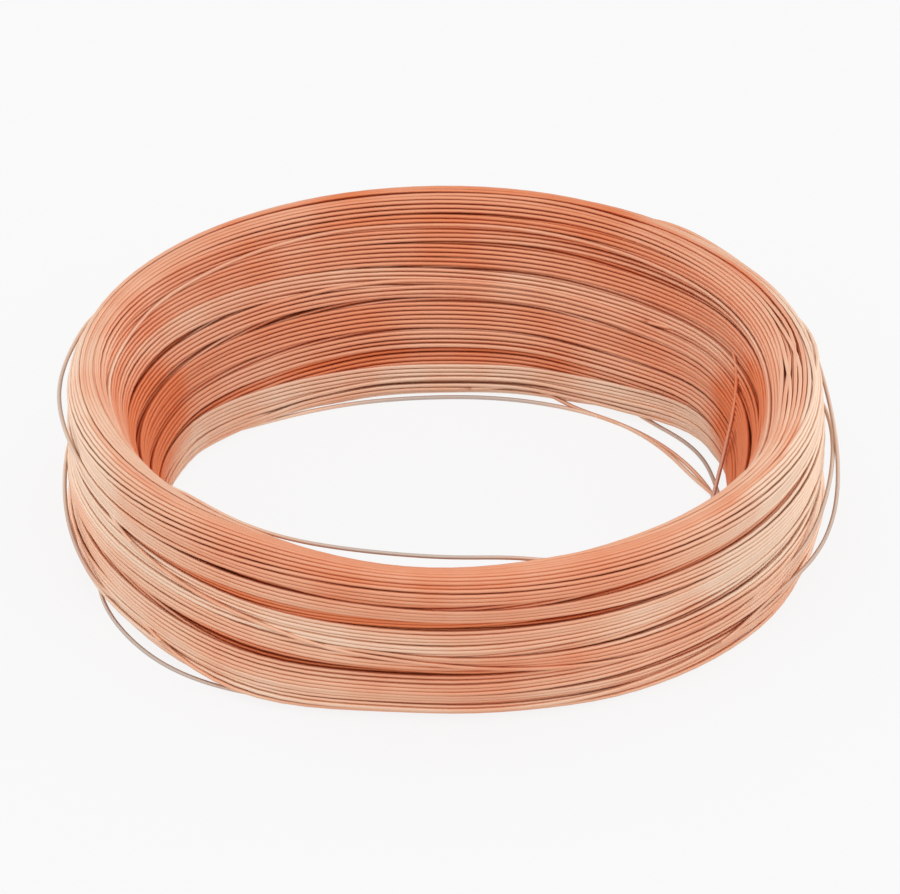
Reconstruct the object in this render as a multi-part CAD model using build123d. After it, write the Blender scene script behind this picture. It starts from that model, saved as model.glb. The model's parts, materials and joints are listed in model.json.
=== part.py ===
from build123d import *
import math
import os

# A coil of bare, soft copper wire as it lies on a table: a long length of 1 mm wire, wound
# into a round coil with an open, flared bore. The packed turns are one turned solid. Its turns
# show on its top end, and its walls show the sheaves in which the turns lie gathered. A few
# springy turns have come loose and stand off its outside.
# Frame: the origin is on the coil's axis at the level of the table, and +Z is up the axis.
# -Y faces the viewer, +X is to the viewer's right. All lengths are in millimetres.

# The wire, and how the turns lie beside each other on the top end
wire_diameter = 1.0
turn_pitch = 1.06
groove_depth = 0.38

# The sheaves on the outer wall and in the flared bore, and the opening between two of them
sheaf_width = 9.8
opening_width = 1.9
opening_depth = 1.5

# The packed turns
coil_diameter = 175.0
coil_height = 42.0
bore_diameter = 118.0
bore_wall_height = 12.0
bore_foot_bevel = 0.8
top_rim_width = 9.0

# Rounding of the section's corners
outer_bottom_radius = 7.5
outer_top_radius = 4.5
inner_top_radius = 4.0
bore_mouth_radius = 16.0

# Loose turns: how near they come to the packed turns, how far each one springs off them, and
# how far below the top end they stay. The tilted turn stays as far above the table.
loose_turn_gap = 0.25
floor_turn_spring = 4.6
floor_turn_azimuth = 222.0
tilted_turn_spring = 5.6
tilted_turn_azimuth = 0.0
tilted_turn_margin = 6.5
upper_turn_spring = 2.4
upper_turn_azimuth = 180.0
upper_turn_drop = 4.0

wire_radius = wire_diameter / 2
coil_radius = coil_diameter / 2
bore_radius = bore_diameter / 2
top_opening_radius = coil_radius - top_rim_width

# The loose turns are six-sided, flat side down, so that they reach furthest out sideways.
wire_sides = 6
wire_reach = wire_radius / math.cos(math.pi / wire_sides)


def section_line():
    """The smooth line round the section in the XZ plane, open at the bevel at the bore's foot."""
    return FilletPolyline(
        (bore_radius + bore_foot_bevel, 0, 0),
        (coil_radius, 0, 0),
        (coil_radius, 0, coil_height),
        (top_opening_radius, 0, coil_height),
        (bore_radius, 0, bore_wall_height),
        (bore_radius, 0, bore_foot_bevel),
        radius=[
            outer_bottom_radius,
            outer_top_radius,
            inner_top_radius,
            bore_mouth_radius,
        ],
    )


def turns_on_end(end_line):
    """The line of the top end with its turns: up to each turn's crest, and down between two."""
    turns = round(end_line.length / turn_pitch)
    points = [end_line @ 0]
    for turn in range(turns):
        if turn > 0:
            along = end_line % (turn / turns)
            inward = Vector(-along.Z, 0, along.X)
            points.append(end_line @ (turn / turns) + inward * groove_depth)
        points.append(end_line @ ((turn + 0.5) / turns))
    points.append(end_line @ 1)
    return Polyline(*points)


def sheaves_on_wall(wall_line):
    """The line of a wall with its sheaves: flat on each sheaf, and down between two."""
    sheaves = round(wall_line.length / sheaf_width)
    half_opening = opening_width / 2 / wall_line.length
    points = [wall_line @ 0]
    for sheaf in range(1, sheaves):
        boundary = sheaf / sheaves
        along = wall_line % boundary
        inward = Vector(-along.Z, 0, along.X)
        points.append(wall_line @ (boundary - half_opening))
        points.append(wall_line @ boundary + inward * opening_depth)
        points.append(wall_line @ (boundary + half_opening))
    points.append(wall_line @ 1)
    return Polyline(*points)


def packed_turns():
    """The turned solid with its flared bore, its sheaves, and the turns on its top end."""
    (
        underside,
        foot_rounding,
        outer_wall,
        outer_rounding,
        top_flat,
        inner_rounding,
        flare,
        mouth_rounding,
        bore_wall,
    ) = section_line().edges()
    bevel = Line(bore_wall @ 1, underside @ 0)
    turned_end = turns_on_end(Wire([outer_rounding, top_flat, inner_rounding]))
    outer_sheaves = sheaves_on_wall(outer_wall)
    flared_sheaves = sheaves_on_wall(Wire([flare, mouth_rounding]))
    section = make_face(
        [
            underside,
            foot_rounding,
            *outer_sheaves.edges(),
            *turned_end.edges(),
            *flared_sheaves.edges(),
            bore_wall,
            bevel,
        ]
    )
    return revolve(section, Axis.Z, 360)


def loose_turn(nearest_radius, spring, azimuth, height, tilt=0.0):
    """One turn of wire that has sprung sideways.

    nearest_radius is the radius, from the coil's axis, of the wire's centre where the turn is
    nearest to the packed turns, and spring is how much further off it is on the other side.
    """
    shift = spring / 2
    angle = math.radians(azimuth)
    place = Pos(shift * math.cos(angle), shift * math.sin(angle), height)
    section = Plane.XZ * Pos(nearest_radius + shift, 0) * RegularPolygon(
        wire_radius, wire_sides, major_radius=False
    )
    return place * Rot(tilt, 0, 0) * revolve(section, Axis.Z, 360)


def floor_turn():
    """The loose turn that lies on the table, against the rounded foot of the packed turns."""
    foot_reach = outer_bottom_radius + loose_turn_gap + wire_reach
    foot_height = outer_bottom_radius - wire_radius
    beside_foot = (
        coil_radius - outer_bottom_radius + math.sqrt(foot_reach**2 - foot_height**2)
    )
    return loose_turn(beside_foot, floor_turn_spring, floor_turn_azimuth, wire_radius)


def wall_turns():
    """The loose turns round the outer wall: one tilted, low at the front, and one near the top."""
    beside_wall = coil_radius + loose_turn_gap + wire_reach
    mid_height = coil_height / 2
    rise = coil_height - 2 * tilted_turn_margin
    across = 2 * beside_wall + tilted_turn_spring
    tilt = math.degrees(math.asin(rise / across))
    tilted_turn = loose_turn(
        beside_wall, tilted_turn_spring, tilted_turn_azimuth, mid_height, tilt
    )
    upper_turn = loose_turn(
        beside_wall, upper_turn_spring, upper_turn_azimuth, coil_height - upper_turn_drop
    )
    return [tilted_turn, upper_turn]


def loose_turns():
    """Every loose turn, as separate solids that don't touch."""
    return Compound(children=[floor_turn(), *wall_turns()])


os.makedirs("parts", exist_ok=True)
export_step(packed_turns(), "parts/packed_turns.step")
export_step(loose_turns(), "parts/loose_turns.step")
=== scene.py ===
"""Looks of the copper wire coil: every turn of its wire, the copper finish and the studio.

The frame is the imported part's: the origin on the coil's axis at the level of the table, +Z up
the axis, -Y towards the viewer and +X to the viewer's right. The wire is laid out in
millimetres, and its meshes are written in metres.
"""

import json
import logging
import math
from dataclasses import dataclass, field
from enum import Enum

import bpy
import numpy as np
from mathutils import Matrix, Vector


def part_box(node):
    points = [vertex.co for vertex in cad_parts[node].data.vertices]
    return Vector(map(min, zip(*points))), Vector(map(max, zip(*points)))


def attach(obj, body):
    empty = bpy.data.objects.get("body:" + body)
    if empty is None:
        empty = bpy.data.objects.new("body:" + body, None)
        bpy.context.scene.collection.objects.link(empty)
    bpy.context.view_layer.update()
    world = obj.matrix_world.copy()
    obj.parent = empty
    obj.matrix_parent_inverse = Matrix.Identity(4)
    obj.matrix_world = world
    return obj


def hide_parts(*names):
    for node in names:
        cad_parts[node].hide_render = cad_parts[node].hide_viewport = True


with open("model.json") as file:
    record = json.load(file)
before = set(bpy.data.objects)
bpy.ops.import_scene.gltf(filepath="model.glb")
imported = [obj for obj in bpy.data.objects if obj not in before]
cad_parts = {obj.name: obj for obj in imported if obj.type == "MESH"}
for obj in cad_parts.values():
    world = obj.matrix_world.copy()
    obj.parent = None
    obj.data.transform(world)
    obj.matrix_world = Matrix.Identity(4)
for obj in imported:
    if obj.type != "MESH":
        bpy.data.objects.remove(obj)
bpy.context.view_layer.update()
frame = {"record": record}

MM = 0.001

log = logging.getLogger("coil")


def smooth_along(values: np.ndarray, times: int) -> np.ndarray:
    """Evens out a line of values along the wire.

    Args:
        values: One value for each sample of the wire.
        times: How many times each value is mixed with its two neighbours.

    Returns:
        The evened line, as long as the first.
    """
    for _ in range(times):
        mixed = np.empty_like(values)
        mixed[1:-1] = 0.25 * values[:-2] + 0.5 * values[1:-1] + 0.25 * values[2:]
        mixed[0] = 0.75 * values[0] + 0.25 * values[1]
        mixed[-1] = 0.75 * values[-1] + 0.25 * values[-2]
        values = mixed
    return values


def ease(share: np.ndarray) -> np.ndarray:
    """Goes smoothly from 0 to 1 as its share goes from 0 to 1, and stays there."""
    held = np.clip(share, 0, 1)
    return held * held * (3 - 2 * held)


class Depth(Enum):
    """How deep in the coil a length of wire lies, which names the piece that it belongs to."""

    CORE = "core_turns"
    INNER = "inner_turns"
    MIDDLE = "middle_turns"
    UNDER_SKIN = "under_skin_turns"
    SKIN = "skin_turns"
    SPRUNG = "sprung_turns"


class Side(Enum):
    """The side of the section on which an opening between sheaves lies."""

    OUTER = "outer"
    INNER = "inner"


def round_the_coil(
    shifts: tuple[tuple[float, float], ...], azimuth: np.ndarray
) -> np.ndarray:
    """Goes smoothly round the coil from each shift to the next.

    Args:
        shifts: Azimuths in degrees, in rising order, with the shift at each.
        azimuth: Where the shift is wanted, in radians.

    Returns:
        The shift at each azimuth, in millimetres.
    """
    at, values = np.array([*shifts, (shifts[0][0] + 360, shifts[0][1])]).T
    degrees = (np.degrees(azimuth) - at[0]) % 360 + at[0]
    nth = np.clip(np.searchsorted(at, degrees, "right") - 1, 0, len(shifts) - 1)
    share = ease((degrees - at[nth]) / (at[nth + 1] - at[nth]))
    return values[nth] * (1 - share) + values[nth + 1] * share


@dataclass(frozen=True)
class Slump:
    """How the coil has slumped out of its even shape.

    Each line has azimuths in degrees with the shift there in millimetres, outwards, or upwards
    for the top. The azimuth is 0 at the viewer's right, 90 at the far side, 180 at the left.
    """

    foot: tuple[tuple[float, float], ...] = (
        (0, 1.2), (90, 0.6), (180, 0.4), (215, 0.3), (238, 1.7), (264, -3.4), (280, -2.8),
        (302, -0.6), (335, 1.5),
    )
    shoulder: tuple[tuple[float, float], ...] = (
        (0, 0.8), (45, 0.2), (90, 0.6), (135, 0.5), (180, 0.0), (225, -0.2), (300, 0.6)
    )
    bore: tuple[tuple[float, float], ...] = (
        (0, 9.0), (17, 10.5), (30, 10.5), (38, 7.0), (46, 2.5), (60, -1.0), (90, -3.8),
        (115, -2.5), (132, 0.0), (142, 3.0), (154, 6.0), (180, 7.5), (225, 3.0), (270, -2.0),
        (320, 4.0),
    )
    mouth: tuple[tuple[float, float], ...] = (
        (0, -0.6), (90, 0.3), (140, 0.3), (176, 2.4), (205, 1.6), (235, 0.6), (270, 2.0),
        (335, 2.4),
    )
    top: tuple[tuple[float, float], ...] = (
        (0, -0.2), (90, -0.2), (180, 1.0), (225, -0.2), (270, -2.0), (315, -1.4)
    )


@dataclass(frozen=True)
class Section:
    """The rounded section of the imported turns, in millimetres.

    Its corners run from the bore's foot along the underside and up the outer wall.
    """

    outer_radius: float
    height: float
    bore_radius: float
    rim_width: float = 9.1
    bore_wall: float = 10.0
    roundings: tuple[float, ...] = (3.5, 8.0, 4.5, 3.6, 16.0)
    softness: float = 0.9
    slump: Slump = Slump()

    def corners(self) -> np.ndarray:
        """The section's corners before rounding, as rows of radius and height."""
        outer, bore = self.outer_radius + 0.4, self.bore_radius + 0.2
        mouth = self.outer_radius - self.rim_width
        return np.array(
            [
                [bore, 0],
                [outer, 0],
                [outer - 0.3, self.height],
                [mouth, self.height],
                [bore, self.bore_wall],
            ]
        )

    def _sides(self) -> list[tuple[np.ndarray, np.ndarray]]:
        """Each straight side's first corner and its direction."""
        corners = self.corners()
        ways = np.roll(corners, -1, axis=0) - corners
        ways /= np.hypot(*ways.T)[:, None]
        return list(zip(corners, ways))

    def line(self, inset: float, count: int = 1440) -> tuple[np.ndarray, np.ndarray, float]:
        """The rounded line that runs inside the section's outline.

        Args:
            inset: How far inside the outline the line runs.
            count: How many points the line has, evenly spaced.

        Returns:
            The points, the outward direction at each and the length of the closed line.
        """
        sides = self._sides()
        arcs, ways = [], []
        for nth, (corner, way) in enumerate(sides):
            before = sides[nth - 1][1]
            turn = math.acos(float(np.clip(before @ way, -1, 1)))
            inward = np.array([-before[1], before[0]])
            radius = max(self.roundings[nth] - inset, 0.8)
            meet = corner + inset * (inward - before * math.tan(turn / 2))
            middle = meet - before * radius * math.tan(turn / 2) + inward * radius
            angle = np.linspace(0, turn, 24)[:, None]
            out = -inward * np.cos(angle) + before * np.sin(angle)
            arcs.append(middle + radius * out)
            ways.append(out)
        points = np.vstack([*arcs, arcs[0][:1]])
        outward = np.vstack([*ways, ways[0][:1]])
        reach = np.r_[0, np.hypot(*np.diff(points, axis=0).T).cumsum()]
        at = np.arange(count) / count * reach[-1]
        spaced = np.stack([np.interp(at, reach, points[:, axis]) for axis in (0, 1)], 1)
        facing = np.stack([np.interp(at, reach, outward[:, axis]) for axis in (0, 1)], 1)
        return spaced, facing / np.hypot(*facing.T)[:, None], float(reach[-1])

    def outside(self, r: np.ndarray, z: np.ndarray, inset: float) -> tuple[np.ndarray, ...]:
        """How far samples are outside the line inside the section, and the way out.

        Args:
            r: Radius of each sample.
            z: Height of each sample.
            inset: How far inside the outline the line runs.

        Returns:
            The distance, below zero inside, and the outward direction's radial and upward
            parts.
        """
        outs = [(way[1], -way[0]) for _, way in self._sides()]
        gaps = np.array(
            [
                (r - corner[0]) * out[0] + (z - corner[1]) * out[1] + inset
                for (corner, _), out in zip(self._sides(), outs)
            ]
        )
        nearest = gaps.max(0)
        weights = np.exp((gaps - nearest) / self.softness)
        total = weights.sum(0)
        out_r = sum(weight * out[0] for weight, out in zip(weights, outs)) / total
        out_z = sum(weight * out[1] for weight, out in zip(weights, outs)) / total
        length = np.hypot(out_r, out_z) + 1e-9
        distance = nearest + self.softness * np.log(total)
        return distance, out_r / length, out_z / length

    def place(self, side: Side, height: float, inset: float) -> float:
        """How far along the line inside the section a height on one side is reached.

        Args:
            side: The side on which the height is looked for.
            height: The height above the table.
            inset: How far inside the outline the line runs.

        Returns:
            The length along the line from its start.
        """
        points, facing, length = self.line(inset)
        wanted = facing[:, 0] > 0.3 if side is Side.OUTER else facing[:, 0] < -0.3
        apart = np.where(wanted, np.abs(points[:, 1] - height), np.inf)
        return float(apart.argmin()) / len(points) * length

    def spine(self) -> np.ndarray:
        """The short line in the middle of the section, from its low end to its high end."""
        low = ((self.bore_radius + self.outer_radius) / 2, 8.0)
        high = (self.outer_radius - self.rim_width / 2 - 0.5, self.height - 6.0)
        return np.array([low, high])

    def inward(self, r: np.ndarray, z: np.ndarray) -> np.ndarray:
        """The directions, as rows of radial and upward parts, towards the section's middle."""
        low, high = self.spine()
        ways = (low + high) / 2 - np.stack([r, z], 1)
        return ways / np.linalg.norm(ways, axis=1, keepdims=True)

    def settled_shape(
        self, r: np.ndarray, z: np.ndarray, azimuth: np.ndarray
    ) -> tuple[np.ndarray, np.ndarray]:
        """Bends the even section to the coil's real one, which has slumped unevenly.

        The turns near a wall move with it, and those in the middle take up the difference.

        Args:
            r: Radius of each sample in the even section.
            z: Height of each sample in the even section.
            azimuth: Where round the coil each sample is, in radians.

        Returns:
            The radius and the height in the real section.
        """
        rise = np.clip(z / self.height, 0, 1)
        slump = self.slump
        outer = round_the_coil(slump.foot, azimuth) * (1 - rise)
        outer += round_the_coil(slump.shoulder, azimuth) * rise
        inner = round_the_coil(slump.bore, azimuth) * (1 - rise)
        inner += round_the_coil(slump.mouth, azimuth) * rise
        flare = np.clip((z - self.bore_wall) / (self.height - self.bore_wall), 0, 1)
        flare_width = self.outer_radius - self.rim_width - self.bore_radius
        wall = self.bore_radius + flare_width * flare
        outward = (r - wall) / (self.outer_radius - wall)
        margin = 0.25 * (1 - rise**3)
        share = np.clip((outward - margin) / (1 - 2 * margin), 0, 1)
        stretch = 1 + round_the_coil(slump.top, azimuth) / self.height
        return r + outer * share + inner * (1 - share), 0.5 + (z - 0.5) * stretch


@dataclass(frozen=True)
class Opening:
    """A long opening where two sheaves of turns lie apart and deeper turns show."""

    side: Side
    height: float
    azimuth: float
    span: float
    width: float

    def apart(self, azimuth: np.ndarray) -> np.ndarray:
        """How far apart the two sheaves lie at each azimuth, in millimetres."""
        off = (np.degrees(azimuth) - self.azimuth + 180) % 360 - 180
        return self.width * np.clip(1 - (2 * off / self.span) ** 2, 0, 1) ** 1.5


@dataclass(frozen=True)
class PaintedLightPatch:
    """A patch of painted shade, where the copper is painted deeper in tone, or of painted highlight,
    painted paler, where its tone is below zero.
    """

    side: Side
    height: float
    azimuth: float
    rise: float
    span: float
    tone: float

    def over(self, azimuth: np.ndarray, height: np.ndarray) -> np.ndarray:
        """The painted shade, or painted highlight where below zero, that the patch adds at each
        place, fading towards its edges.
        """
        off = (np.degrees(azimuth) - self.azimuth + 180) % 360 - 180
        away = (2 * off / self.span) ** 2 + (2 * (height - self.height) / self.rise) ** 2
        return self.tone * np.clip(1 - away, 0, 1)


@dataclass(frozen=True)
class Layer:
    """One layer of sheaves of turns: how deep it lies and how loosely its sheaves lie."""

    depth: Depth
    inset: float
    gap: float
    sway: tuple[float, float, float]
    sheaf_turns: tuple[int, int] = (4, 14)


@dataclass
class Sheaf:
    """Turns that lie side by side and sway together along the section's outline.

    The sway has one value for each slice round the coil, from the seam onwards.
    """

    start: float
    turns: int
    sway: np.ndarray

    def path(self, pitch: float, samples: int) -> np.ndarray:
        """The place along the outline at each sample of the sheaf and a little beyond it.

        Args:
            pitch: The distance between two turns.
            samples: How many samples the path has.

        Returns:
            The length along the line round the section, in millimetres.
        """
        slices = len(self.sway)
        sample = np.arange(samples)
        return self.start + pitch * sample / slices + self.sway[sample % slices]


@dataclass
class Strand:
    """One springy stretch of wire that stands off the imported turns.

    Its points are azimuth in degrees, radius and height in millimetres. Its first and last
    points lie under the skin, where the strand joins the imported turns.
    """

    points: list[tuple[float, float, float]]
    step: float = 1.2

    def curve(self) -> np.ndarray:
        """A smooth line through the points, as rows of x, y and z in millimetres."""
        azimuth, radius, height = np.array(self.points).T
        angle = np.radians(azimuth)
        knots = np.stack([radius * np.cos(angle), radius * np.sin(angle), height], 1)
        first = 2 * knots[0] - knots[1]
        last = 2 * knots[-1] - knots[-2]
        padded = np.vstack([first, knots, last])
        spans = []
        for before, start, end, after in zip(padded, padded[1:], padded[2:], padded[3:]):
            steps = max(2, int(np.linalg.norm(end - start) / self.step))
            t = np.linspace(0, 1, steps, endpoint=False)[:, None]
            chord = np.linalg.norm(end - start)
            slope_in = chord * (end - before) / (
                np.linalg.norm(start - before) + chord
            )
            slope_out = chord * (after - start) / (
                np.linalg.norm(after - end) + chord
            )
            spans.append(
                (2 * t**3 - 3 * t**2 + 1) * start
                + (t**3 - 2 * t**2 + t) * slope_in
                + (3 * t**2 - 2 * t**3) * end
                + (t**3 - t**2) * slope_out
            )
        line = np.vstack([*spans, knots[-1:]])
        for _ in range(6):
            line[1:-1] = 0.25 * line[:-2] + 0.5 * line[1:-1] + 0.25 * line[2:]
        return line

    def span(self) -> tuple[float, float]:
        """The azimuths, in radians, between which the strand stands off."""
        first, last = sorted((self.points[0][0], self.points[-1][0]))
        return math.radians(first), math.radians(last)

    def at(self, azimuth: np.ndarray) -> tuple[np.ndarray, np.ndarray]:
        """The strand's radius and height at azimuths within its span.

        Args:
            azimuth: The azimuths, in radians, on the same lap as the strand's points.

        Returns:
            The radius and the height at each azimuth.
        """
        line = self.curve()
        turn = np.unwrap(np.arctan2(line[:, 1], line[:, 0]))
        turn += round((math.radians(self.points[0][0]) - turn[0]) / math.tau) * math.tau
        order = np.argsort(turn)
        radius = np.hypot(line[:, 0], line[:, 1])
        return (
            np.interp(azimuth, turn[order], radius[order]),
            np.interp(azimuth, turn[order], line[order, 2]),
        )


@dataclass
class Winding:
    """The one long wire of the coil, laid turn by turn on the turns below it, in millimetres.

    A loose core comes first. Round it go layers of sheaves, which sway against each other, so
    that they overlap in some places and lie apart in others. Each turn rests on what was laid
    before it. Then the turns settle, and some spring out along the strands.
    """

    section: Section
    wire_diameter: float
    layers: list[Layer]
    openings: list[Opening]
    # Patches of painted shade and painted highlight laid over the turns' tone.
    painted_light_patches: list[PaintedLightPatch]
    route: list[tuple[float, float]]
    strands: list[Strand]
    slices: int = 96
    seam: float = math.radians(290)
    pitch: float = 1.02
    core_inset: float = 4.8
    core_pitch: float = 1.5
    core_step: float = 1.45
    sway_kept: float = 0.8
    bulge: float = 0.4
    # How much painted shade deepens the colour of turns lying under the skin, standing in for the
    # shade between turns.
    painted_depth_shade: float = 0.35
    dive: float = 1.8
    rounds: int = 36
    seed: int = 11
    r: np.ndarray = field(default=None, repr=False)
    z: np.ndarray = field(default=None, repr=False)
    depth: np.ndarray = field(default=None, repr=False)
    tone: np.ndarray = field(default=None, repr=False)
    greyness: np.ndarray = field(default=None, repr=False)

    def wind(self) -> None:
        """Lays the core, the layers of sheaves and the last wandering turns, and settles them."""
        self.rng = np.random.default_rng(self.seed)
        self.laid_r = np.full((self.slices, 1200), -500.0)
        self.laid_z = np.full((self.slices, 1200), -500.0)
        self.laid = 0
        self.depths: list[Depth] = []
        self.tones: list[float] = []
        self._lay_core()
        for layer in self.layers:
            self._lay_sheaves(layer)
        self._lay_last_turns()
        self._settle()
        self._spring()

    @property
    def azimuth(self) -> np.ndarray:
        """Where round the coil each sample is, in radians, in the first lap."""
        sample = np.arange(len(self.r)) % self.slices
        return (self.seam + sample / self.slices * math.tau) % math.tau

    def _keep(self, positions: np.ndarray, depth: Depth, tone: float) -> None:
        """Keeps one laid turn, given as a row of radius and height for each slice."""
        self.laid_r[:, self.laid] = positions[:, 0]
        self.laid_z[:, self.laid] = positions[:, 1]
        self.laid += 1
        self.depths.append(depth)
        self.tones.append(tone)

    def _lay_core(self) -> None:
        """Lays the loose turns in the middle, shell after shell from the middle outwards."""
        line, _, _ = self.section.line(self.core_inset)
        low, high = self.section.spine()
        along = (line - low) @ (high - low) / ((high - low) @ (high - low))
        foot = low + np.clip(along, 0, 1)[:, None] * (high - low)
        reach = np.hypot(*(line - foot).T).mean()
        shells = []
        depth = 0.0
        while depth < 0.8:
            shell = line * (1 - depth) + foot * depth
            length = np.hypot(*(shell - np.roll(shell, 1, axis=0)).T).sum()
            samples = int(length / self.core_pitch) * self.slices
            at = np.arange(samples) / samples * len(shell)
            index = at.astype(int)
            mix = (at - index)[:, None]
            after = (index + 1) % len(shell)
            shells.append(shell[index] * (1 - mix) + shell[after] * mix)
            depth += self.core_step / reach
        wire = np.vstack(shells[::-1])
        wire = np.stack([smooth_along(wire[:, axis], 120) for axis in (0, 1)], 1)
        for turn in wire.reshape(-1, self.slices, 2):
            self._keep(turn, Depth.CORE, 0.25)

    def _sway(self, sizes: tuple[float, ...]) -> np.ndarray:
        """A random sway with once, twice and three times as many waves round the coil."""
        turn = np.arange(self.slices) / self.slices * math.tau
        sway = np.zeros(self.slices)
        for times, size in enumerate(sizes, 1):
            across, away = self.rng.standard_normal(2) * size
            sway += across * np.cos(times * turn) + away * np.sin(times * turn)
        return sway

    def _plan(self, layer: Layer, length: float) -> list[Sheaf]:
        """Shares a layer out in sheaves, with a boundary at each opening.

        Args:
            layer: The layer.
            length: The length of the line round the section at the layer's depth.

        Returns:
            The sheaves in the order in which they are laid.
        """
        slice_azimuth = self.seam + np.arange(self.slices) / self.slices * math.tau
        places = sorted(
            (self.section.place(opening.side, opening.height, layer.inset), nth)
            for nth, opening in enumerate(self.openings)
        )
        sheaves: list[Sheaf] = []
        apart_before = np.zeros(self.slices)
        sway = self._sway(layer.sway)
        at = 0.0
        while at < length - 3 * self.pitch:
            turns = int(self.rng.integers(*layer.sheaf_turns))
            ahead = [entry for entry in places if at + self.pitch < entry[0]]
            apart_after = np.zeros(self.slices)
            if ahead and ahead[0][0] < at + (turns + 2) * self.pitch:
                turns = max(2, round((ahead[0][0] - at) / self.pitch))
                apart_after = self.openings[ahead[0][1]].apart(slice_azimuth) / 2
            turns = max(2, min(turns, int((length - at) / self.pitch)))
            sway = self.sway_kept * sway + 0.6 * self._sway(layer.sway)
            sheaves.append(Sheaf(at, turns, sway + apart_before - apart_after))
            apart_before = apart_after
            gap = layer.gap * self.rng.uniform(-0.4, 1.8)
            at += turns * self.pitch + max(gap, -0.3)
        return sheaves

    def _lay_sheaves(self, layer: Layer) -> None:
        """Lays one layer of sheaves on the turns below it."""
        line, facing, length = self.section.line(layer.inset)
        path, tones = [], []
        before = None
        for sheaf in self._plan(layer, length):
            samples = sheaf.turns * self.slices
            own = sheaf.path(self.pitch, samples)
            if before is not None:
                over = before.turns * self.slices
                left = before.path(self.pitch, over + samples)[over:]
                start = self.rng.uniform(0, 0.12)
                share = ease((np.arange(samples) / self.slices - start) / 0.28)
                own = left * (1 - share) + own * share
            path.append(own)
            tones += [float(self.rng.uniform(0, 0.5))] * sheaf.turns
            before = sheaf
        self._lay(np.concatenate(path), line, facing, length, layer.depth, tones)

    def _lay_last_turns(self) -> None:
        """Lays the last turns of the wire, which wander over the outside along the route."""
        line, facing, length = self.section.line(self.wire_diameter / 2)
        azimuth, place = np.array(self.route).T
        start = math.degrees(self.seam)
        turns = math.ceil((azimuth[-1] - start) / 360)
        at = start + np.arange(turns * self.slices) / self.slices * 360
        path = smooth_along(np.interp(at, azimuth, place), 50)
        tones = [float(tone) for tone in self.rng.uniform(0, 0.4, turns)]
        self._lay(path, line, facing, length, Depth.SKIN, tones)

    def _lay(
        self,
        path: np.ndarray,
        line: np.ndarray,
        facing: np.ndarray,
        length: float,
        depth: Depth,
        tones: list[float],
    ) -> None:
        """Lays turns along a path on the line round the section, each on what lies below it.

        Args:
            path: The place along the line at each sample of the turns.
            line: The points of the line round the section.
            facing: The outward direction at each point.
            length: The length of the closed line.
            depth: How deep in the coil the turns lie.
            tones: The tone of each turn.
        """
        spaced = smooth_along(path, 20) / length * len(line)
        index = np.floor(spaced).astype(int)
        mix = (spaced - index)[:, None]
        here, after = index % len(line), (index + 1) % len(line)
        place = line[here] * (1 - mix) + line[after] * mix
        outward = facing[here] * (1 - mix) + facing[after] * mix
        outward /= np.hypot(*outward.T)[:, None]
        past = np.zeros(24)
        for turn, tone in enumerate(tones):
            first = turn * self.slices
            last = min(first + self.slices + 24, len(path))
            lowest = self._resting(place[first:last], outward[first:last])
            lift = lowest.copy()
            for _ in range(30):
                whole = np.concatenate([past, lift, lift[-1:]])
                mixed = 0.25 * whole[:-2] + 0.5 * whole[1:-1] + 0.25 * whole[2:]
                lift = np.maximum(lowest, mixed[len(past) - 1 :])
            lift = lift[: self.slices]
            past = lift[-24:]
            own = slice(first, first + self.slices)
            self._keep(place[own] + outward[own] * lift[:, None], depth, tone)

    def _resting(self, place: np.ndarray, outward: np.ndarray) -> np.ndarray:
        """How far outwards a turn has to lie so that it rests on the turns laid before it.

        Args:
            place: The turn's place on its line in each slice.
            outward: The outward direction in each slice.

        Returns:
            The shift along the outward direction in each slice.
        """
        rows = np.arange(len(place)) % self.slices
        away_r = self.laid_r[rows, : self.laid] - place[:, :1]
        away_z = self.laid_z[rows, : self.laid] - place[:, 1:]
        ahead = away_r * outward[:, :1] + away_z * outward[:, 1:]
        aside = away_r**2 + away_z**2 - ahead**2
        size = self.wire_diameter
        touch = ahead + np.sqrt(np.maximum(size**2 - aside, 0))
        under = np.where((aside < size**2) & (ahead > -6), touch, -9.0)
        return np.maximum(under.max(1), -0.45)

    def _neighbours(self, r: np.ndarray, z: np.ndarray, reach: float) -> tuple[np.ndarray, ...]:
        """Pairs of samples that lie near each other in the same slice.

        Args:
            r: Radius of every sample.
            z: Height of every sample.
            reach: How near the samples of a pair are.

        Returns:
            The index of each pair's first and of its second sample.
        """
        cells = 2048
        slice_of = np.arange(len(r)) % self.slices
        column = np.floor((r + 10) / reach).astype(np.int64)
        row = np.floor((z + 10) / reach).astype(np.int64)
        cell = (slice_of * cells + column) * cells + row
        order = np.argsort(cell, kind="stable")
        ranked = cell[order]
        place = np.arange(len(r))
        first, second = [], []
        for offset in (0, 1, cells - 1, cells, cells + 1):
            start = np.searchsorted(ranked, ranked + offset, "left")
            start = place + 1 if offset == 0 else start
            found = np.searchsorted(ranked, ranked + offset, "right") - start
            for nth in range(max(0, int(found.max()))):
                has = found > nth
                first.append(order[place[has]])
                second.append(order[start[has] + nth])
        one, other = np.concatenate(first), np.concatenate(second)
        near = np.hypot(r[one] - r[other], z[one] - z[other]) < reach
        return one[near], other[near]

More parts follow.
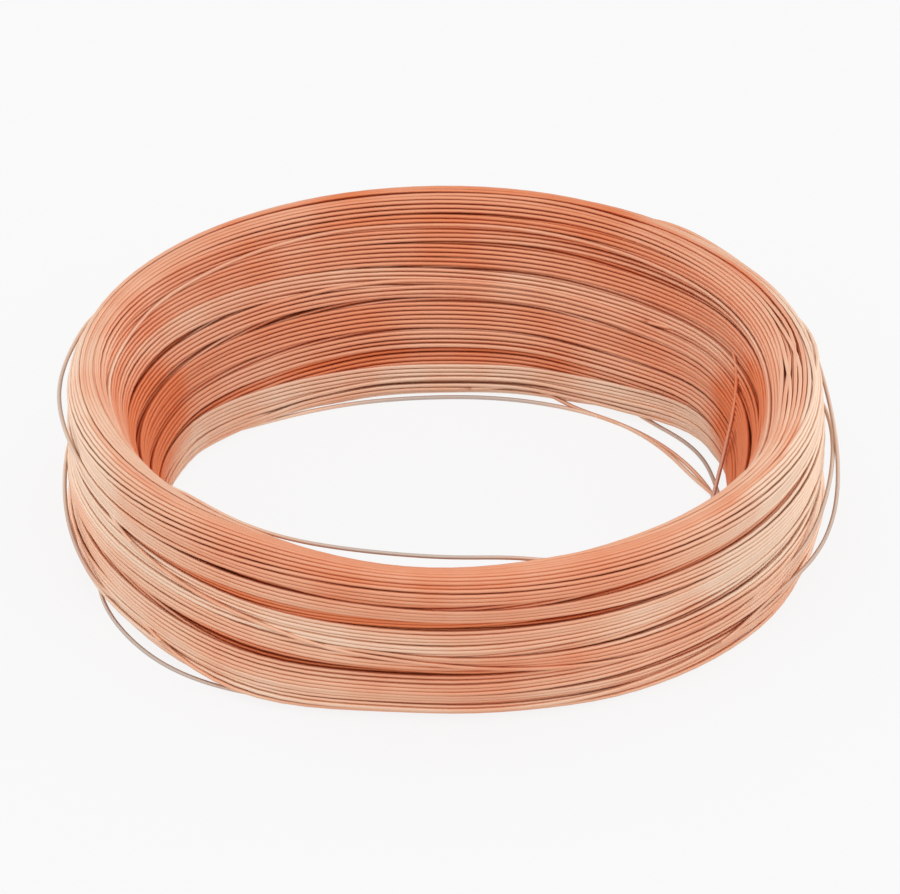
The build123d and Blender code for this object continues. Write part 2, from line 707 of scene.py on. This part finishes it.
    def _settle(self) -> None:
        """Presses the turns into the section, pushes overlapping turns apart and works out each
        sample's tone, into which shade and highlight are painted.
        """
        r = self.laid_r[:, : self.laid].T.reshape(-1).copy()
        z = self.laid_z[:, : self.laid].T.reshape(-1).copy()
        inset = self.wire_diameter / 2 - self.bulge
        size = self.wire_diameter
        loose = np.ones(len(r))
        for nth in range(self.rounds):
            if nth % 8 == 0:
                pairs = self._neighbours(r, z, 1.5 * size)
            self._push_apart(r, z, pairs, loose, 6 if nth < 0.7 * self.rounds else 2)
            distance, out_r, out_z = self.section.outside(r, z, inset)
            back = -0.35 * np.maximum(distance, 0)
            r += smooth_along(back * out_r, 4)
            z += smooth_along(back * out_z, 4)
            z = np.clip(z, size / 2, self.section.height - size / 2)
        self.r, self.z = r, z
        self.depth = np.repeat([depth.value for depth in self.depths], self.slices)
        under = -self.section.outside(r, z, size / 2)[0]
        # The turns' own random tone, to which painted shade and painted highlight are added below.
        self.tone = smooth_along(np.repeat(self.tones, self.slices), 40)
        # Painted shade: the deeper a turn lies under the skin, the deeper its tone, standing in for
        # the copper-to-copper reflections in the hollows between turns.
        self.tone += self.painted_depth_shade * smooth_along(np.clip(under - 0.6, 0, 3), 4)
        low, high = self.section.spine()
        split = low[0] + (z - low[1]) / (high[1] - low[1]) * (high[0] - low[0])
        # Painted shade and painted highlight: each patch deepens the tone on its side of the
        # section, or pales it where its tone is below zero.
        for painted_patch in self.painted_light_patches:
            beside = r > split if painted_patch.side is Side.OUTER else r < split
            self.tone += painted_patch.over(self.azimuth, z) * beside
        self.r, self.z = self.section.settled_shape(self.r, self.z, self.azimuth)
        self._make_room()

    def _push_apart(
        self,
        r: np.ndarray,
        z: np.ndarray,
        pairs: tuple[np.ndarray, np.ndarray],
        loose: np.ndarray,
        easing: int,
    ) -> None:
        """Moves overlapping turns apart.

        Args:
            r: Radius of every sample, which is changed.
            z: Height of every sample, which is changed.
            pairs: The samples that may overlap.
            loose: 1 for each sample that can move and 0 for the others.
            easing: How much the moves are evened out along the wire.
        """
        one, other = pairs
        away_r, away_z = r[other] - r[one], z[other] - z[one]
        gap = np.hypot(away_r, away_z) + 1e-9
        push = 1.3 * np.maximum(1.01 * self.wire_diameter - gap, 0) / gap
        push /= np.maximum(loose[one] + loose[other], 1)
        for line, away in ((r, away_r), (z, away_z)):
            moves = np.bincount(other, away * push, len(r)) - np.bincount(one, away * push, len(r))
            line += smooth_along(moves, easing) * loose

    def _make_room(self) -> None:
        """Pushes the deep turns apart where the slumped shape presses them together."""
        deep = np.isin(self.depth, [Depth.CORE.value, Depth.INNER.value, Depth.MIDDLE.value])
        for nth in range(self.rounds):
            if nth % 6 == 0:
                pairs = self._neighbours(self.r, self.z, 1.5 * self.wire_diameter)
            self._push_apart(self.r, self.z, pairs, deep.astype(float), 3)

    def _spring(self) -> None:
        """Lets turns spring out of the skin along the strands, which are greyer where they lie apart
        from other turns.
        """
        first_skin = int(np.argmax(self.depth == Depth.SKIN.value))
        step = math.tau / self.slices
        for strand in self.strands:
            start, end = strand.span()
            lead = int(round((start - self.seam) % math.tau / step))
            count = int(round((end - start) / step)) + 1
            azimuth = start + np.arange(count) * step
            radius, height = strand.at(azimuth)
            best, nearest = None, np.inf
            laps = (len(self.r) - first_skin) // self.slices
            for lap in range(laps):
                begin = first_skin + lap * self.slices + lead
                if begin + count >= len(self.r):
                    break
                run = slice(begin, begin + count)
                if (self.depth[run] == Depth.SPRUNG.value).any():
                    continue
                away = np.hypot(self.r[run] - radius, self.z[run] - height)
                cost = away[:6].mean() + away[-6:].mean() + 0.2 * away.mean()
                if cost < nearest:
                    best, nearest = run, cost
            log.info("a strand leaves a turn %.1f mm away", nearest)
            share = np.arange(count) / (count - 1)
            weight = ease(share / 0.22) * ease((1 - share) / 0.22)
            r = self.r[best] * (1 - weight) + radius * weight
            z = self.z[best] * (1 - weight) + height * weight
            inward = self.section.inward(r, z) * self.dive * 4 * (weight * (1 - weight))[:, None]
            self.r[best], self.z[best] = r + inward[:, 0], z + inward[:, 1]
            self.depth[best] = Depth.SPRUNG.value
        self.r, self.z = smooth_along(self.r, 2), smooth_along(self.z, 2)
        # A greyer colour where a sprung strand lies apart from other turns, evened out along the
        # wire.
        alone = (self.depth == Depth.SPRUNG.value).astype(float)
        for near in self._neighbours(self.r, self.z, 1.7 * self.wire_diameter):
            alone[near] = 0
        self.greyness = smooth_along(alone, 6)

    def points(self) -> np.ndarray:
        """The wire's line, as rows of x, y and z in millimetres."""
        return np.stack(
            [self.r * np.cos(self.azimuth), self.r * np.sin(self.azimuth), self.z], 1
        )


@dataclass(frozen=True)
class CopperFinish:
    """Bright, soft-drawn copper: satin, paler or deeper in tone from turn to turn, with painted
    shade deepening the tone and painted highlight paling it.
    """

    slot: str = "bare_copper"
    # The ramp's colours: the turns' own random tone spans pale to bright, painted highlight reaches
    # towards pale, and painted shade reaches deep.
    pale: tuple[float, float, float] = (0.87, 0.64, 0.49)
    bright: tuple[float, float, float] = (0.84, 0.49, 0.33)
    deep: tuple[float, float, float] = (0.76, 0.24, 0.10)
    roughness: float = 0.54
    metallic: float = 0.82
    roughness_spread: float = 0.12
    patchiness: float = 0.13
    # The grey mixed into sprung strands where they lie apart from other turns.
    apart_grey: tuple[float, float, float] = (0.58, 0.48, 0.42)

    def material(self) -> bpy.types.Material:
        """Builds the copper with its tone, in which shade and highlight are painted, drawing lines
        and fine roughness.

        Returns:
            The material, which reads the pieces' own UV map, their tone with its painted shade and
            highlight, and their greying.
        """
        made = bpy.data.materials.new("drawn_copper")
        made.use_nodes = True
        nodes, links = made.node_tree.nodes, made.node_tree.links
        nodes.clear()
        output = nodes.new("ShaderNodeOutputMaterial")
        shader = nodes.new("ShaderNodeBsdfPrincipled")
        shader.inputs["Metallic"].default_value = self.metallic
        links.new(shader.outputs["BSDF"], output.inputs["Surface"])

        # The tone attribute holds the turns' own random tone plus painted shade, deeper, and painted
        # highlight, paler; the ramp turns it into colour.
        tone = nodes.new("ShaderNodeAttribute")
        tone.attribute_name = "tone"
        clouds = nodes.new("ShaderNodeTexNoise")
        clouds.inputs["Scale"].default_value = 45.0
        clouds.inputs["Detail"].default_value = 3.0
        coordinates = nodes.new("ShaderNodeTexCoord")
        links.new(coordinates.outputs["Object"], clouds.inputs["Vector"])
        patches = nodes.new("ShaderNodeMapRange")
        patches.inputs["From Min"].default_value = 0.35
        patches.inputs["From Max"].default_value = 0.65
        patches.inputs["To Min"].default_value = -self.patchiness
        patches.inputs["To Max"].default_value = self.patchiness
        links.new(clouds.outputs["Fac"], patches.inputs["Value"])
        both = nodes.new("ShaderNodeMath")
        links.new(patches.outputs["Result"], both.inputs[0])
        links.new(tone.outputs["Fac"], both.inputs[1])
        ramp = nodes.new("ShaderNodeValToRGB")
        ramp.color_ramp.elements[0].color = (*self.pale, 1)
        ramp.color_ramp.elements[1].color = (*self.deep, 1)
        ramp.color_ramp.elements.new(0.32).color = (*self.bright, 1)
        links.new(both.outputs["Value"], ramp.inputs["Fac"])
        # Greys the colour where a sprung strand lies apart from other turns.
        greyness = nodes.new("ShaderNodeAttribute")
        greyness.attribute_name = "greyness"
        greyed = nodes.new("ShaderNodeMix")
        greyed.data_type = "RGBA"
        greyed.inputs["B"].default_value = (*self.apart_grey, 1)
        links.new(greyness.outputs["Fac"], greyed.inputs["Factor"])
        links.new(ramp.outputs["Color"], greyed.inputs["A"])
        links.new(greyed.outputs["Result"], shader.inputs["Base Color"])

        lines = nodes.new("ShaderNodeTexNoise")
        lines.inputs["Scale"].default_value = 1.0
        lines.inputs["Detail"].default_value = 2.0
        stretch = nodes.new("ShaderNodeMapping")
        stretch.inputs["Scale"].default_value = (14.0, 60.0, 1.0)
        links.new(coordinates.outputs["UV"], stretch.inputs["Vector"])
        links.new(stretch.outputs["Vector"], lines.inputs["Vector"])
        rough = nodes.new("ShaderNodeMapRange")
        rough.inputs["To Min"].default_value = self.roughness - self.roughness_spread / 2
        rough.inputs["To Max"].default_value = self.roughness + self.roughness_spread / 2
        links.new(lines.outputs["Fac"], rough.inputs["Value"])
        links.new(rough.outputs["Result"], shader.inputs["Roughness"])
        bump = nodes.new("ShaderNodeBump")
        bump.inputs["Strength"].default_value = 0.12
        bump.inputs["Distance"].default_value = 0.02 * MM
        links.new(lines.outputs["Fac"], bump.inputs["Height"])
        links.new(bump.outputs["Normal"], shader.inputs["Normal"])
        return made


def finer(rows: np.ndarray, times: int) -> np.ndarray:
    """Puts more samples on a smooth line through rows of values.

    Args:
        rows: The values at each sample.
        times: How many steps each step becomes.

    Returns:
        The rows of the finer line, which has the same ends.
    """
    before = np.vstack([rows[:1], rows[:-2]])
    start, end = rows[:-1], rows[1:]
    after = np.vstack([rows[2:], rows[-1:]])
    steps = []
    for step in range(times):
        t = step / times
        steps.append(
            start
            + 0.5 * t * (end - before)
            + t**2 * (before - 2.5 * start + 2 * end - 0.5 * after)
            + 0.5 * t**3 * (3 * start - before - 3 * end + after)
        )
    return np.vstack([np.stack(steps, 1).reshape(-1, rows.shape[1]), rows[-1:]])


@dataclass
class WireLine:
    """The line of a length of wire, with what its rings of points need."""

    points: np.ndarray
    along: np.ndarray = field(init=False)
    outward: np.ndarray = field(init=False)
    reach: np.ndarray = field(init=False)

    def __post_init__(self) -> None:
        """Works out the wire's direction, its outward side and its length at each point."""
        self.along = np.gradient(self.points, axis=0)
        self.along /= np.linalg.norm(self.along, axis=1, keepdims=True)
        outward = self.points * (1.0, 1.0, 0.0)
        outward /= np.linalg.norm(outward, axis=1, keepdims=True)
        outward -= (outward * self.along).sum(1, keepdims=True) * self.along
        self.outward = outward / np.linalg.norm(outward, axis=1, keepdims=True)
        steps = np.linalg.norm(np.diff(self.points, axis=0), axis=1)
        self.reach = np.r_[0, steps.cumsum()]

    def rings(self, sides: int, diameter: float) -> np.ndarray:
        """The rings of points round the wire.

        Args:
            sides: How many points a ring has.
            diameter: The wire's diameter.

        Returns:
            The points of every ring, one ring after the other.
        """
        upward = np.cross(self.along, self.outward)
        turn = np.arange(sides) / sides * math.tau
        ring = (
            np.cos(turn)[None, :, None] * self.outward[:, None]
            + np.sin(turn)[None, :, None] * upward[:, None]
        )
        return (self.points[:, None] + ring * diameter / 2).reshape(-1, 3)


@dataclass
class WireMesh:
    """Makes round wire along lengths of the line and joins them in one mesh."""

    name: str
    wire_diameter: float
    sides: int
    detail: int = 1
    runs: list[slice] = field(default_factory=list)

    def triangles(self) -> int:
        """How many triangles the mesh has."""
        rings = sum((run.stop - run.start - 1) * self.detail + 1 for run in self.runs)
        return 2 * self.sides * rings - 4 * len(self.runs)

    def build(
        self, wire: np.ndarray, shades: dict[str, np.ndarray], material: bpy.types.Material
    ) -> bpy.types.Object:
        """Makes the piece.

        Args:
            wire: The points of the whole wire, in millimetres.
            shades: The wire's tone, with its painted shade and highlight, and its greying at each
                sample, by the finish's names.
            material: The finish of the wire.

        Returns:
            The piece, with its place in its mesh.
        """
        sides = self.sides
        points, quads, uvs, caps = [], [], [], []
        values: dict[str, list[np.ndarray]] = {name: [] for name in shades}
        start = 0
        for run in self.runs:
            rings = (run.stop - run.start - 1) * self.detail + 1
            before, after = min(run.start, 1), min(len(wire) - run.stop, 1)
            line = WireLine(finer(wire[run.start - before : run.stop + after], self.detail))
            kept = slice(before * self.detail, before * self.detail + rings)
            whole = line.rings(sides, self.wire_diameter)
            points.append(whole[kept.start * sides : kept.stop * sides])
            for name, shade in shades.items():
                fine_shade = finer(shade[run][:, None], self.detail).ravel()
                values[name].append(np.repeat(fine_shade, sides))
            ring, side = (grid.ravel() for grid in np.indices((rings - 1, sides)))
            beside = (side + 1) % sides
            low, high = start + ring * sides, start + (ring + 1) * sides
            quads.append(np.stack([low + side, low + beside, high + beside, high + side], 1))
            reach = line.reach[kept] * MM
            across = np.stack([side, side + 1, side + 1, side], 1) / sides
            lengths = np.stack(
                [reach[ring], reach[ring], reach[ring + 1], reach[ring + 1]], 1
            )
            uvs.append(np.stack([across, lengths], 2).reshape(-1, 2))
            caps.append(start + np.arange(sides)[::-1])
            caps.append(start + (rings - 1) * sides + np.arange(sides))
            start += rings * sides
        corners = np.concatenate([np.vstack(quads).ravel(), np.concatenate(caps)])
        sizes = np.r_[np.full(sum(map(len, quads)), 4), np.full(len(caps), sides)]
        mesh = bpy.data.meshes.new(self.name)
        mesh.vertices.add(start)
        mesh.vertices.foreach_set("co", (np.vstack(points) * MM).astype(np.float32).ravel())
        mesh.loops.add(len(corners))
        mesh.loops.foreach_set("vertex_index", corners.astype(np.int32))
        mesh.polygons.add(len(sizes))
        starts = np.r_[0, sizes.cumsum()[:-1]]
        mesh.polygons.foreach_set("loop_start", starts.astype(np.int32))
        mesh.polygons.foreach_set("use_smooth", sizes == 4)
        layer = mesh.uv_layers.new(name="wire")
        flat = np.zeros((len(corners), 2), np.float32)
        side_uvs = np.vstack(uvs)
        flat[: len(side_uvs)] = side_uvs
        layer.data.foreach_set("uv", flat.ravel())
        for name, runs in values.items():
            shade = mesh.attributes.new(name, "FLOAT", "POINT")
            shade.data.foreach_set("value", np.concatenate(runs).astype(np.float32))
        mesh.update(calc_edges=True)
        mesh.materials.append(material)
        piece = bpy.data.objects.new(self.name, mesh)
        bpy.context.scene.collection.objects.link(piece)
        return piece


@dataclass
class Coil:
    """The whole coil: one wire in layers of turns, some of which have sprung out."""

    wire_diameter: float = 1.0
    finish: CopperFinish = field(default_factory=CopperFinish)
    sides: dict[Depth, int] = field(
        default_factory=lambda: {
            Depth.CORE: 4,
            Depth.INNER: 5,
            Depth.MIDDLE: 6,
            Depth.UNDER_SKIN: 8,
            Depth.SKIN: 8,
            Depth.SPRUNG: 10,
        }
    )

    def section(self) -> Section:
        """The section's shape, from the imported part's box and bore."""
        _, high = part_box("packed_turns")
        mounts = {mount["name"]: mount for mount in frame["record"]["mounts"]}
        return Section(
            outer_radius=high.x / MM,
            height=high.z / MM,
            bore_radius=mounts["bore"]["dims"]["r_mm"],
        )

    def layers(self) -> list[Layer]:
        """The layers of sheaves, from the deepest to the skin."""
        return [
            Layer(Depth.INNER, inset=3.8, gap=0.1, sway=(0.7, 0.4, 0.2)),
            Layer(Depth.MIDDLE, inset=2.9, gap=0.25, sway=(0.9, 0.5, 0.25)),
            Layer(Depth.UNDER_SKIN, inset=2.0, gap=0.35, sway=(1.3, 0.8, 0.35)),
            Layer(Depth.SKIN, inset=1.1, gap=0.8, sway=(1.5, 0.9, 0.4)),
        ]

    def openings(self) -> list[Opening]:
        """The long openings that the photograph shows between the sheaves."""
        return [
            Opening(Side.OUTER, height=14.4, azimuth=242, span=130, width=2.2),
            Opening(Side.OUTER, height=19.0, azimuth=286, span=44, width=1.2),
            Opening(Side.OUTER, height=31.0, azimuth=326, span=34, width=1.5),
            Opening(Side.OUTER, height=8.4, azimuth=328, span=26, width=1.3),
            Opening(Side.OUTER, height=26.5, azimuth=262, span=70, width=0.7),
            Opening(Side.INNER, height=33.2, azimuth=50, span=130, width=1.1),
            Opening(Side.INNER, height=28.6, azimuth=12, span=50, width=2.2),
            Opening(Side.INNER, height=28.0, azimuth=166, span=56, width=1.6),
            Opening(Side.INNER, height=20.6, azimuth=106, span=80, width=1.2),
            Opening(Side.INNER, height=11.2, azimuth=88, span=86, width=1.2),
        ]

    def painted_light_patches(self) -> list[PaintedLightPatch]:
        """The patches of painted shade and painted highlight, where the photograph shows a deeper or
        a paler tone.
        """
        return [
            # Tones above zero paint shade into the copper, and tones below zero paint highlight.
            PaintedLightPatch(Side.INNER, height=30, azimuth=90, rise=50, span=300, tone=0.28),
            PaintedLightPatch(Side.INNER, height=41, azimuth=90, rise=16, span=170, tone=0.34),
            PaintedLightPatch(Side.INNER, height=41, azimuth=272, rise=18, span=130, tone=0.4),
            PaintedLightPatch(Side.INNER, height=18, azimuth=2, rise=38, span=52, tone=1.0),
            PaintedLightPatch(Side.INNER, height=18, azimuth=178, rise=38, span=52, tone=1.0),
            PaintedLightPatch(Side.OUTER, height=36, azimuth=2, rise=56, span=120, tone=-0.5),
            PaintedLightPatch(Side.OUTER, height=36, azimuth=180, rise=50, span=110, tone=-0.3),
            PaintedLightPatch(Side.OUTER, height=36, azimuth=90, rise=60, span=170, tone=0.4),
            PaintedLightPatch(Side.OUTER, height=36, azimuth=272, rise=90, span=110, tone=0.34),
            PaintedLightPatch(Side.OUTER, height=20, azimuth=250, rise=12, span=80, tone=-0.25),
        ]

    def last_turns(self) -> list[tuple[float, float]]:
        """The route of the last turns: azimuth in degrees, and place along the outline in mm.

        The place is measured from the bore's foot under the coil, up the outer wall from 27,
        over the top end from 66 and down into the bore from 78 to its foot at 118.
        """
        along_bore_foot = [(290, 117), (354, 117.5), (536, 117.5), (714, 113.5), (776, 115)]
        up_the_bore = [(1076, 117), (1158, 117), (1304, 117), (1400, 80)]
        round_the_mouth = [(1626, 79), (1746, 79)]
        down_the_back = [(1790, 70), (1980, 31), (2116, 29)]
        up_the_right = [(2238, 63.5), (2302, 63.5), (2368, 53.5)]
        over_the_front = [(2484, 33.5), (2542, 56.5), (2686, 53.5), (2739, 28.5)]
        to_the_table = [(3064, 24), (3134, 25), (3250, 20)]
        return [
            *along_bore_foot,
            *up_the_bore,
            *round_the_mouth,
            *down_the_back,
            *up_the_right,
            *over_the_front,
            *to_the_table,
        ]

    def strands(self) -> list[Strand]:
        """The strands that stand off the coil, from the left side round by the front."""
        upper_left = Strand(
            [(142, 83, 38), (150, 85.2, 39.5), (160, 88, 39), (178, 90.2, 36.5), (190, 88.6, 33),
             (200, 86.6, 30), (208, 84, 28)]
        )
        middle_left = Strand(
            [(166, 84, 28), (175, 87.4, 24), (189, 89.8, 15), (199, 89.6, 9), (210, 87.4, 4.5),
             (219, 84, 3)]
        )
        on_table = Strand(
            [(184, 80, 2.2), (190, 82.6, 0.7), (196, 85, 0.5), (206, 87.4, 0.5), (216, 88.9, 0.5),
             (226, 89.2, 0.5), (237, 86.4, 0.5), (247, 83, 0.6), (254, 80, 2)]
        )
        right_side = Strand(
            [(78, 83, 38), (70, 86, 40), (58, 88, 40), (45, 88.8, 39), (23, 89.8, 36), (3, 90.2, 30),
             (-10, 93.2, 20), (-18, 93.4, 13), (-27, 91.2, 8), (-36, 87.4, 4.6), (-44, 83.6, 4)]
        )
        right_short = Strand(
            [(22, 84, 31), (14, 87.2, 29), (4, 90, 27), (-6, 91.2, 23.5), (-18, 90.6, 16),
             (-28, 87.6, 10), (-36, 84, 8)]
        )
        front_mouth = Strand(
            [(196, 81, 36), (204, 78.4, 37.6), (214, 76.4, 38.6), (229, 76.6, 38.8),
             (244, 76.4, 39), (268, 75.4, 39), (284, 77, 38.8), (296, 79.6, 38), (306, 81.5, 36)]
        )
        back_foot = Strand(
            [(176, 73, 3), (168, 69.6, 0.9), (154, 65.2, 0.5), (137, 61.4, 0.5), (115, 56.4, 0.5),
             (93, 54.4, 0.5), (72, 55.8, 0.5), (52, 58.6, 0.5), (38, 60.2, 0.5), (24, 60.8, 0.5),
             (9, 62.3, 0.5), (-4, 64, 0.6), (-16, 67, 1.5), (-26, 70, 3)]
        )
        back_foot_second = Strand(
            [(78, 60, 3), (68, 58.6, 1.2), (58, 58.2, 0.6), (42, 60, 0.5), (27, 61.9, 0.5),
             (12, 63.9, 0.5), (0, 65.6, 0.6), (-10, 68, 1.6), (-18, 71, 3)]
        )
        bore_side = Strand(
            [(58, 64, 3.4), (50, 63.2, 1.4), (42, 65, 0.6), (34, 66.4, 0.5), (28, 67.1, 0.5),
             (21, 66.9, 0.5), (13, 65.7, 0.5), (3, 66, 0.6), (-6, 68.6, 1.4), (-14, 72, 3)]
        )
        bore_corner = Strand(
            [(40, 70, 5), (34, 69.4, 3), (27, 70, 1.2), (20, 70.3, 0.6), (14, 70.8, 0.8),
             (6, 72, 2), (-2, 74, 4)]
        )
        dropping = Strand(
            [(44, 80, 31), (37, 79, 30.4), (30, 77.4, 29.6), (22, 74.2, 27), (14, 70.6, 22.8),
             (8.6, 66.4, 13), (6, 64.3, 5.5), (3, 62, 1.2), (-4, 61.4, 0.5), (-12, 62.4, 0.5),
             (-20, 64.6, 0.6), (-28, 68, 1.8), (-36, 71, 3)]
        )
        return [
            upper_left,
            middle_left,
            on_table,
            right_side,
            right_short,
            front_mouth,
            back_foot,
            back_foot_second,
            bore_side,
            bore_corner,
            dropping,
        ]

    def build(self) -> list[bpy.types.Object]:
        """Winds the coil and makes its pieces.

        Returns:
            The pieces, which ride on the part and replace its plain solids.
        """
        winding = Winding(
            section=self.section(),
            wire_diameter=self.wire_diameter,
            layers=self.layers(),
            openings=self.openings(),
            painted_light_patches=self.painted_light_patches(),
            route=self.last_turns(),
            strands=self.strands(),
        )
        winding.wind()
        material = self.finish.material()
        wire = winding.points()
        # The tone carries painted shade and painted highlight; the greying marks strands that lie
        # apart from other turns.
        shades = {"tone": winding.tone, "greyness": winding.greyness}
        meshes = {
            depth: WireMesh(depth.value, self.wire_diameter, sides)
            for depth, sides in self.sides.items()
        }
        meshes[Depth.SPRUNG].detail = 4
        changes = np.flatnonzero(winding.depth[1:] != winding.depth[:-1]) + 1
        bounds = [0, *changes.tolist(), len(winding.depth)]
        for first, last in zip(bounds, bounds[1:]):
            end = min(last + 1, len(winding.depth))
            meshes[Depth(winding.depth[first])].runs.append(slice(first, end))
        pieces = []
        for depth, mesh in meshes.items():
            piece = mesh.build(wire, shades, material)
            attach(piece, "root")
            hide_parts("loose_turns" if depth is Depth.SPRUNG else "packed_turns")
            log.info("%s: %d triangles", mesh.name, mesh.triangles())
            pieces.append(piece)
        return pieces


@dataclass
class Studio:
    """The pale floor, the soft lights and the camera at the photograph's viewing angle."""

    elevation: float = 32.3
    distance: float = 2.46
    pixels_per_mm: float = 4.27
    image_width: int = 900
    aim_height: float = 0.0215
    aim_offset: tuple[float, float] = (5.6, 2.4)
    floor_size: float = 6.0
    low_surround: float = 0.62
    high_surround: float = 0.74

    def build(self) -> None:
        """Sets the floor, the lights, the world and the camera."""
        self._floor()
        self._world()
        self._lights()
        self._camera()

    def _seen(self, tree: bpy.types.NodeTree) -> bpy.types.NodeSocket:
        """Tells what is seen, straight or mirrored in the copper, from what only gives light.

        Args:
            tree: The nodes of the surround or of the floor.

        Returns:
            The socket that is 1 where it is seen and 0 elsewhere.
        """
        path = tree.nodes.new("ShaderNodeLightPath")
        seen = path.outputs["Is Camera Ray"]
        for ray in ("Is Glossy Ray", "Is Transmission Ray"):
            either = tree.nodes.new("ShaderNodeMath")
            either.operation = "MAXIMUM"
            tree.links.new(seen, either.inputs[0])
            tree.links.new(path.outputs[ray], either.inputs[1])
            seen = either.outputs["Value"]
        return seen

    def _floor(self) -> None:
        """A white floor that keeps a faint shadow of the coil."""
        bpy.ops.object.select_all(action="DESELECT")
        bpy.ops.mesh.primitive_plane_add(size=self.floor_size, location=(0, 0, 0))
        floor = bpy.context.active_object
        floor.name = "floor"
        material = bpy.data.materials.new("floor_white")
        material.use_nodes = True
        nodes, links = material.node_tree.nodes, material.node_tree.links
        nodes.clear()
        output = nodes.new("ShaderNodeOutputMaterial")
        mix = nodes.new("ShaderNodeMixShader")
        paint = nodes.new("ShaderNodeBsdfDiffuse")
        paint.inputs["Color"].default_value = (0.74, 0.74, 0.74, 1)
        glow = nodes.new("ShaderNodeEmission")
        glow.inputs["Color"].default_value = (1, 1, 1, 1)
        share = nodes.new("ShaderNodeMath")
        share.operation = "MULTIPLY"
        share.inputs[1].default_value = 0.86
        links.new(self._seen(material.node_tree), share.inputs[0])
        links.new(share.outputs["Value"], mix.inputs["Fac"])
        links.new(paint.outputs["BSDF"], mix.inputs[1])
        links.new(glow.outputs["Emission"], mix.inputs[2])
        links.new(mix.outputs["Shader"], output.inputs["Surface"])
        floor.data.materials.append(material)

    def _world(self) -> None:
        """A pale surround, brighter overhead, and white where the camera sees it."""
        world = bpy.data.worlds.new("surround")
        bpy.context.scene.world = world
        world.use_nodes = True
        nodes, links = world.node_tree.nodes, world.node_tree.links
        nodes.clear()
        output = nodes.new("ShaderNodeOutputWorld")
        surround = nodes.new("ShaderNodeBackground")
        surround.inputs["Color"].default_value = (1, 1, 1, 1)
        coordinates = nodes.new("ShaderNodeTexCoord")
        upward = nodes.new("ShaderNodeSeparateXYZ")
        fade = nodes.new("ShaderNodeMapRange")
        fade.inputs["From Max"].default_value = 0.85
        fade.inputs["To Min"].default_value = self.low_surround
        fade.inputs["To Max"].default_value = self.high_surround
        links.new(coordinates.outputs["Object"], upward.inputs["Vector"])
        links.new(upward.outputs["Z"], fade.inputs["Value"])
        links.new(fade.outputs["Result"], surround.inputs["Strength"])
        seen = nodes.new("ShaderNodeBackground")
        seen.inputs["Color"].default_value = (1, 1, 1, 1)
        seen.inputs["Strength"].default_value = 1.0
        mix = nodes.new("ShaderNodeMixShader")
        links.new(self._seen(world.node_tree), mix.inputs["Fac"])
        links.new(surround.outputs["Background"], mix.inputs[1])
        links.new(seen.outputs["Background"], mix.inputs[2])
        links.new(mix.outputs["Shader"], output.inputs["Surface"])

    def _lights(self) -> None:
        """Soft boxes over the coil and before it, and at both sides before and behind it."""
        boxes = {
            "top_softbox": ((0.0, -0.8, 2.2), 3.0, 4.0),
            "front_softbox": ((0.2, -1.3, 2.1), 2.0, 4.0),
            "left_softbox": ((-1.7, -0.9, 0.8), 1.4, 3.0),
            "right_softbox": ((1.7, -0.9, 0.8), 1.4, 3.0),
            "far_left_softbox": ((-1.7, 1.7, 0.6), 1.5, 5.0),
            "far_right_softbox": ((1.7, 1.6, 0.6), 1.5, 7.0),
        }
        for name, (place, size, power) in boxes.items():
            light = bpy.data.lights.new(name, "AREA")
            light.shape = "DISK"
            light.size = size
            light.energy = power
            lamp = bpy.data.objects.new(name, light)
            bpy.context.scene.collection.objects.link(lamp)
            lamp.location = place
            aim = Vector((0, 0, 0.02)) - lamp.location
            lamp.rotation_euler = aim.to_track_quat("-Z", "Y").to_euler()

    def _camera(self) -> None:
        """The camera, far off and narrow, as the photograph's flat perspective shows."""
        tilt = math.radians(self.elevation)
        back = Vector((0, -math.cos(tilt), math.sin(tilt)))
        upward = Vector((0, math.sin(tilt), math.cos(tilt)))
        right_by, down_by = (value / self.pixels_per_mm * MM for value in self.aim_offset)
        aim = Vector((right_by, 0, self.aim_height)) - upward * down_by
        data = bpy.data.cameras.new("camera")
        data.sensor_width = 36.0
        focal_pixels = self.pixels_per_mm / MM * self.distance
        data.lens = focal_pixels * data.sensor_width / self.image_width
        data.clip_start = 0.05
        data.clip_end = 50.0
        camera = bpy.data.objects.new("camera", data)
        bpy.context.scene.collection.objects.link(camera)
        camera.location = aim + back * self.distance
        camera.rotation_euler = (-back).to_track_quat("-Z", "Y").to_euler()
        bpy.context.scene.camera = camera


def main() -> None:
    """Builds the coil and the studio, and reports each piece."""
    logging.basicConfig(level=logging.INFO, format="%(name)s: %(message)s")
    bpy.context.scene.view_settings.view_transform = "Standard"
    for piece in Coil().build():
        log.info("built %s", piece.name)
    Studio().build()


if __name__ == "__main__":
    main()
